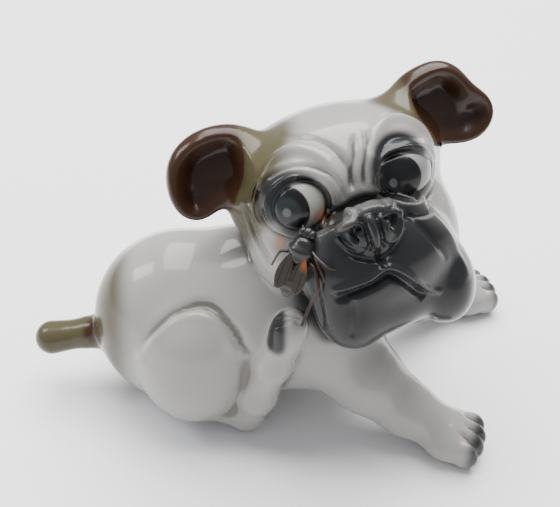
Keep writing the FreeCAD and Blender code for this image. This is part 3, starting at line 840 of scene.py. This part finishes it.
def glaze_material():
    shader = Shader("porcelain_glaze")
    body = shader.mix(shader.noise().step(0.35, 0.65), *WHITE_BODY)
    # painted shade: the creases and hollows are greyed
    body = shader.mix(0.85 * shader.attribute("crease_shade").step(0.0, 1.0), body, CREASE_SHADE_GREY)
    drift = 0.22 * (shader.noise() - 0.5)

    def sprayed(name):
        """A colour's strength, drifting a little from place to place."""
        strength = shader.attribute(name)
        return strength + drift * strength.step(0.0, 0.3)

    body = shader.mix(0.95 * sprayed("olive").step(0.0, 0.75), body, OLIVE)
    body = shader.mix(0.85 * sprayed("tan").step(0.0, 1.0), body, TAN)
    ear_brown = shader.mix(shader.noise().step(0.35, 0.68), *EAR_BROWN)
    body = shader.mix((shader.attribute("brown") + drift).step(0.1, 0.85), body, ear_brown)
    # painted shadow in the hollows of the ears
    body = shader.mix(0.75 * shader.attribute("hollow").step(0.25, 0.95), body, EAR_HOLLOW_SHADE)
    soot = shader.mix(shader.noise().step(0.3, 0.7), *SOOT)
    # black airbrush on the mask, lids and toes, and painted shade along the frowns, brow and cheek fold
    body = shader.mix(sprayed("black").step(0.0, 0.95), body, soot)

    across, up, ahead = (shader.attribute("face_" + axis) for axis in "xzy")
    front = ahead.step(-18.0, -22.0)

    def disc(centre, half_across, half_up, tilt=0.0):
        """1 at the centre, 0 on the rim of an oval on the face."""
        c, s = math.cos(math.radians(tilt)), math.sin(math.radians(tilt))
        right, high = across - centre[0], up - centre[1]
        flat = (right * c + high * s) / half_across
        steep = (high * c - right * s) / half_up
        return (flat * flat + steep * steep).math("SQRT")

    waver = 0.20 * (shader.noise() - 0.5)
    for side, (iris, (half_x, half_z), dot_at, inside, (corner, corner_half, strength, tint)) in IRISES.items():
        outline = disc(*OPENINGS[side])
        opening = outline.step(1.05, 0.97) * front
        white = shader.mix(shader.noise().step(0.3, 0.7), *EYE_WHITE)
        white = shader.mix(strength * disc(corner, *corner_half).step(1.0, 0.2), white, tint)
        body = shader.mix(opening, body, white)
        body = shader.mix(0.9 * outline.step(0.80, 1.0) * opening, body, EYE_RIM)
        ball = (disc(iris, half_x, half_z) + waver).step(1.02, 0.93) * opening
        body = shader.mix(ball, body, PUPIL)
        inner = disc((iris[0] - 0.6, iris[1] - 0.4), half_x * 0.72, half_z * 0.72) + waver * 0.6
        body = shader.mix(inner.step(1.0, 0.7) * ball, body, inside)
        body = shader.mix(0.9 * disc(dot_at, 1.7, 2.1).step(1.0, 0.5) * ball, body, CATCHLIGHT)

    shader.feed("Base Color", body)
    shader.feed("Roughness", 0.22 + 0.06 * shader.noise().step(0.2, 0.8))
    painted = shader.attribute("olive").math("MAXIMUM", shader.attribute("brown"))
    painted = shader.attribute("black").math("MAXIMUM", painted)
    shader.feed("IOR", 1.28)
    shader.feed("Coat Weight", 0.72 - 0.45 * painted.step(0.0, 0.8))
    shader.feed("Coat Roughness", 0.035)
    shader.feed("Coat IOR", 1.36)
    shader.bump(shader.noise() + 0.15 * shader.noise(), 0.0006, 0.22)
    return shader.material


glaze = glaze_material()
for name in parted:
    casting(name)
bpy.data.objects.remove(figure)

# ----------------------------------------------------------------------
# Fly: modelled apart in porcelain and wire and stuck to the muzzle. Its pieces are set out along its
# body (a, from head to tail), across it (b) and out from the muzzle (c), in millimetres.
# ----------------------------------------------------------------------
FLY_AT = np.array((-25.4, -32.6, -6.8))  # the thorax, in the head's frame
FROM_NODE = FLY_AT - (-23.6, -33.4, -6.0)  # the enamelled fly sits a little further down the cheek
FLY_DOWN, FLY_OUT = np.array((-0.56, 0.08, -0.82)), np.array((-0.36, -0.88, 0.30))
along_fly = FLY_DOWN / np.linalg.norm(FLY_DOWN)
out_fly = FLY_OUT - along_fly * (FLY_OUT @ along_fly)
out_fly /= np.linalg.norm(out_fly)
FLY_TURN = np.stack([along_fly, np.cross(out_fly, along_fly), out_fly], 1)


def fly_egg(place, half_axes, shape=None, rings=40):
    """A ball drawn out to the half axes, shaped further by shape(unit points) before it is placed."""
    bpy.ops.mesh.primitive_uv_sphere_add(segments=2 * rings, ring_count=rings, radius=1)
    ball = bpy.context.object
    points = vertices_of(ball.data)[:, [2, 0, 1]]  # its poles to the head and tail
    if shape is not None:
        points = shape(points)
    ball.data.vertices.foreach_set("co", (points * half_axes + place).ravel())
    ball.data.shade_smooth()
    return ball


def fly_piece(node, parts, material):
    """Joins parts set out along the fly into the piece that stands for a CAD node."""
    deselect()
    for part in parts:
        part.select_set(True)
    bpy.context.view_layer.objects.active = parts[0]
    if len(parts) > 1:
        bpy.ops.object.join()
    piece = bpy.context.object
    piece.name = node + "_skin"
    own = vertices_of(piece.data)
    for column, key in enumerate(("fly_a", "fly_b")):
        piece.data.attributes.new(key, "FLOAT", "POINT").data.foreach_set("value", own[:, column].copy())
    placed = (from_head(own @ FLY_TURN.T + FLY_AT) + TO_MIDDLE) * MM
    piece.data.vertices.foreach_set("co", placed.ravel())
    piece.data.update()
    piece.data.materials.clear()
    piece.data.materials.append(material)
    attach(piece, "root")
    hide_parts(node)


BAND, VEIN, RUST = (0.030, 0.014, 0.008), (0.012, 0.010, 0.009), (0.24, 0.075, 0.015)


def fly_material(name, dark, light, banded=False, veined=False):
    """Enamel, with brown bands across the fly or with veins and a rust patch along it."""
    shader = Shader(name)
    colour = shader.mix(shader.noise().step(0.38, 0.62), dark, light)
    height = shader.noise()
    if banded:
        wave = (2.6 * shader.attribute("fly_a")).math("SINE")
        colour = shader.mix(0.7 * wave.step(-0.2, 0.7), colour, BAND)
        height = height + 0.8 * wave
    if veined:
        vein = (2.6 * shader.attribute("fly_b") + 9.0 * shader.noise()).math("SINE")
        colour = shader.mix(0.9 * vein.step(0.75, 1.0), colour, VEIN)
        height = height + vein.step(0.6, 1.0)
        rust = shader.attribute("fly_a").step(7.0, 3.0) * shader.attribute("fly_b").step(1.4, 3.0)
        colour = shader.mix(0.85 * rust, colour, RUST)
    shader.feed("Base Color", colour)
    shader.feed("Roughness", 0.25 + 0.2 * shader.noise().step(0.3, 0.7))
    shader.feed("IOR", 1.3)
    shader.feed("Coat Weight", 0.3)
    shader.feed("Coat Roughness", 0.08)
    shader.bump(height, 0.00025, 0.7)
    return shader.material


enamel = fly_material("fly_enamel", (0.005, 0.005, 0.006), (0.026, 0.027, 0.028))
band_enamel = fly_material("fly_band_enamel", (0.010, 0.010, 0.010), (0.050, 0.040, 0.032), banded=True)
wing_enamel = fly_material("fly_wing_enamel", (0.008, 0.007, 0.006), (0.060, 0.052, 0.042), veined=True)
wire_paint = fly_material("fly_wire_paint", (0.014, 0.008, 0.006), (0.045, 0.022, 0.014))


def hump(points):
    """Three soft plates across the thorax."""
    plate = 1 + 0.07 * np.cos(points[:, :1] * 7.5)
    return points * np.concatenate([np.ones_like(plate), plate, plate], 1)


def ringed(points):
    """Blunt at one end and pointed at the other, with rings along it."""
    a = points[:, :1]
    fall = np.where(a > 0, 1 - 0.42 * a ** 2, 1 - 0.05 * a ** 2)
    plate = fall * (1 + 0.035 * np.abs(np.sin(a * 6.5)))
    return points * np.concatenate([np.ones_like(a), plate, plate], 1)


# Thorax: a porcelain ball drawn long, with three soft plates, in black enamel; luted to the muzzle
fly_piece("fly_thorax", [fly_egg((-0.4, 0, 0.8), (5.4, 4.7, 4.1), hump)], enamel)

# Head: a small porcelain ball with two bulging compound eyes, luted to the front of the thorax
eyes = [fly_egg((-6.9, side * 1.75, 1.2), (1.7, 1.45, 1.7), rings=24) for side in (-1, 1)]
fly_piece("fly_head", [fly_egg((-6.6, 0, 0.7), (2.3, 2.3, 2.1), rings=30), *eyes], enamel)

# Abdomen: porcelain in black enamel with brown bands, blunt at the waist and pointed at the tail
fly_piece("fly_abdomen", [fly_egg((10.2, 0, 0.1), (7.2, 4.1, 3.5), ringed)], band_enamel)


WING_THICKNESS = 0.84


def wing_parts(root, tip, half_width):
    """A thin leaf from root to tip, slightly cupped."""
    root, tip = np.array(root, float), np.array(tip, float)
    span = tip - root
    half = np.linalg.norm(span) / 2
    turn = math.atan2(span[1], span[0])

    def leaf(points):
        a, b, c = points.T
        t = (a + 1) / 2
        wide = 0.42 + 0.58 * np.sin(np.clip(t, 0, 1) ** 0.8 * math.pi * 0.62)
        return np.stack([a, b * wide, c + 0.9 * (b * wide) ** 2], 1)

    part = fly_egg((0, 0, 0), (half, half_width, WING_THICKNESS / 2), leaf)
    points = vertices_of(part.data)
    c, s = math.cos(turn), math.sin(turn)
    flat = points[:, :2] @ np.array([[c, s], [-s, c]])
    points = np.column_stack([flat, points[:, 2] + (points[:, 0] / half) * span[2] / 2]) + (root + tip) / 2
    part.data.vertices.foreach_set("co", points.ravel())
    return [part]


# Wings: two thin leaves of porcelain, veined and folded over the abdomen
fly_piece("fly_right_wing", wing_parts((0.5, -2.2, 3.7), (14.6, -3.0, 3.3), 2.7), wing_enamel)
fly_piece("fly_left_wing", wing_parts((0.5, 2.2, 3.6), (14.6, 3.6, 2.7), 2.7), wing_enamel)


def wire_parts(knots, radius):
    """A bent wire through the knots, given in the head's frame, thinner towards its foot."""
    knots = (np.array(knots, float) + FROM_NODE - FLY_AT) @ FLY_TURN
    line = np.concatenate([np.linspace(a, b, 7)[:-1] for a, b in zip(knots[:-1], knots[1:])] + [knots[-1:]])
    for _ in range(2):
        line[1:-1] = (line[:-2] + 2 * line[1:-1] + line[2:]) / 4
    curve = bpy.data.curves.new("wire", "CURVE")
    curve.dimensions, curve.bevel_depth, curve.bevel_resolution, curve.use_fill_caps = "3D", radius, 5, True
    spline = curve.splines.new("POLY")
    spline.points.add(len(line) - 1)
    for number, point in enumerate(line):
        spline.points[number].co = (*point, 1)
        spline.points[number].radius = 1.15 - 0.45 * number / (len(line) - 1)
    wire = bpy.data.objects.new("wire", curve)
    bpy.context.collection.objects.link(wire)
    deselect()
    wire.select_set(True)
    bpy.context.view_layer.objects.active = wire
    bpy.ops.object.convert(target="MESH")
    return [bpy.context.object]


# Legs: six bent wires let into the thorax and painted dark brown. The right hind leg hangs free and
# is the thickest; the knots are in the head's frame, from the thorax to the foot.
FLY_LEGS = {
    "fly_right_front_leg": [(-21.4, -34.2, -4.2), (-20.2, -40, -8.4), (-18.2, -43.2, -11.4), (-14.4, -42.4, -14)],
    "fly_right_middle_leg": [(-21.2, -34, -5.6), (-20, -41.5, -13.5), (-19.6, -34, -27.5)],
    "fly_right_hind_leg": [(-24, -34, -8), (-21.6, -38.4, -11.6), (-22.4, -40.4, -18.6), (-25.4, -37.6, -23),
                           (-30.7, -36, -31)],
    "fly_left_front_leg": [(-21.8, -33.6, -4), (-22.4, -35, 0.2), (-20.8, -33.2, 2.6)],
    "fly_left_middle_leg": [(-24.4, -33, -6.4), (-30.6, -31.6, -3.8), (-33.6, -25.2, -9.8)],
    "fly_left_hind_leg": [(-25, -33, -8.2), (-32.4, -29.4, -10), (-34.6, -24, -18)],
}
for node, knots in FLY_LEGS.items():
    radius = 0.75 if node == "fly_right_hind_leg" else 0.5
    fly_piece(node, wire_parts(knots, radius), wire_paint)

# ----------------------------------------------------------------------
# Floor: a wide sweep of matt, nearly white paper, with painted light on it: warmer at the front and cooler at the back.
# It lies a tenth of a millimetre under the seat and is part of the stage, not of the figurine.
# ----------------------------------------------------------------------
WARM_LIT_WHITE, COOL_LIT_WHITE, FIBRE_GREY = (0.93, 0.905, 0.905), (0.93, 0.94, 0.965), (0.75, 0.75, 0.75)
paper = Shader("paper")
depth = paper.node("ShaderNodeSeparateXYZ", paper.node("ShaderNodeTexCoord", out="Object"), out="Y")
# painted light: the paper is tinted warmer towards the front and cooler towards the back
painted_light_tint = paper.mix(depth.step(-0.35, 0.30), WARM_LIT_WHITE, COOL_LIT_WHITE)
fibre = paper.noise()
paper.feed("Base Color", paper.mix(0.03 * fibre.step(0.3, 0.7), painted_light_tint, FIBRE_GREY))
paper.feed("Roughness", 0.75)
paper.bump(fibre, 0.0001, 0.2)
FLOOR_WIDTH, FLOOR_DROP = 8, 0.0001
bpy.ops.mesh.primitive_plane_add(size=1)
floor = bpy.context.object
floor.name = "floor"
floor.data.transform(Matrix.Translation((0, 1.0, -FLOOR_DROP)) @ Matrix.Diagonal((FLOOR_WIDTH, FLOOR_WIDTH, 1, 1)))
floor.data.materials.append(paper.material)

# ----------------------------------------------------------------------
# Light and camera: one large soft light above and behind, a small window to the left and a dim, even
# surround. The camera looks down at the figurine from its right side.
# ----------------------------------------------------------------------
def area_light(name, width, height, place, aim, power, colour):
    bpy.ops.object.light_add(type="AREA", location=place)
    light = bpy.context.object
    light.name = name
    light.data.shape = "RECTANGLE"
    light.data.size, light.data.size_y = width, height
    light.data.energy, light.data.color = power, colour
    light.rotation_euler = facing(place, aim)


def facing(place, aim):
    """The turn that points a light or camera at place towards aim."""
    return (Vector(aim) - Vector(place)).to_track_quat("-Z", "Y").to_euler()


area_light("ceiling", 1.6, 1.6, (0.1, 0.55, 1.5), (0, 0, 0.05), 82.0, (1.0, 0.99, 0.97))
area_light("window", 0.30, 0.42, (-0.75, 0.10, 0.75), (0, 0, 0.06), 5.0, (0.94, 0.97, 1.0))
world = bpy.data.worlds.new("studio")
bpy.context.scene.world = world
world.use_nodes = True
surround = world.node_tree.nodes["Background"]
surround.inputs["Color"].default_value = (0.93, 0.95, 1.0, 1)
surround.inputs["Strength"].default_value = 0.60

CAMERA_RISE, CAMERA_AWAY = math.radians(38), 0.4
bpy.ops.object.camera_add()
camera = bpy.context.object
target = (np.array((0.0, 0.0, 55.0)) + TO_MIDDLE) * MM
place = target + CAMERA_AWAY * np.array((0, -math.cos(CAMERA_RISE), math.sin(CAMERA_RISE)))
camera.location = place
camera.rotation_euler = facing(place, target)
camera.data.lens, camera.data.sensor_width = 60.7, 36
bpy.context.scene.camera = camera
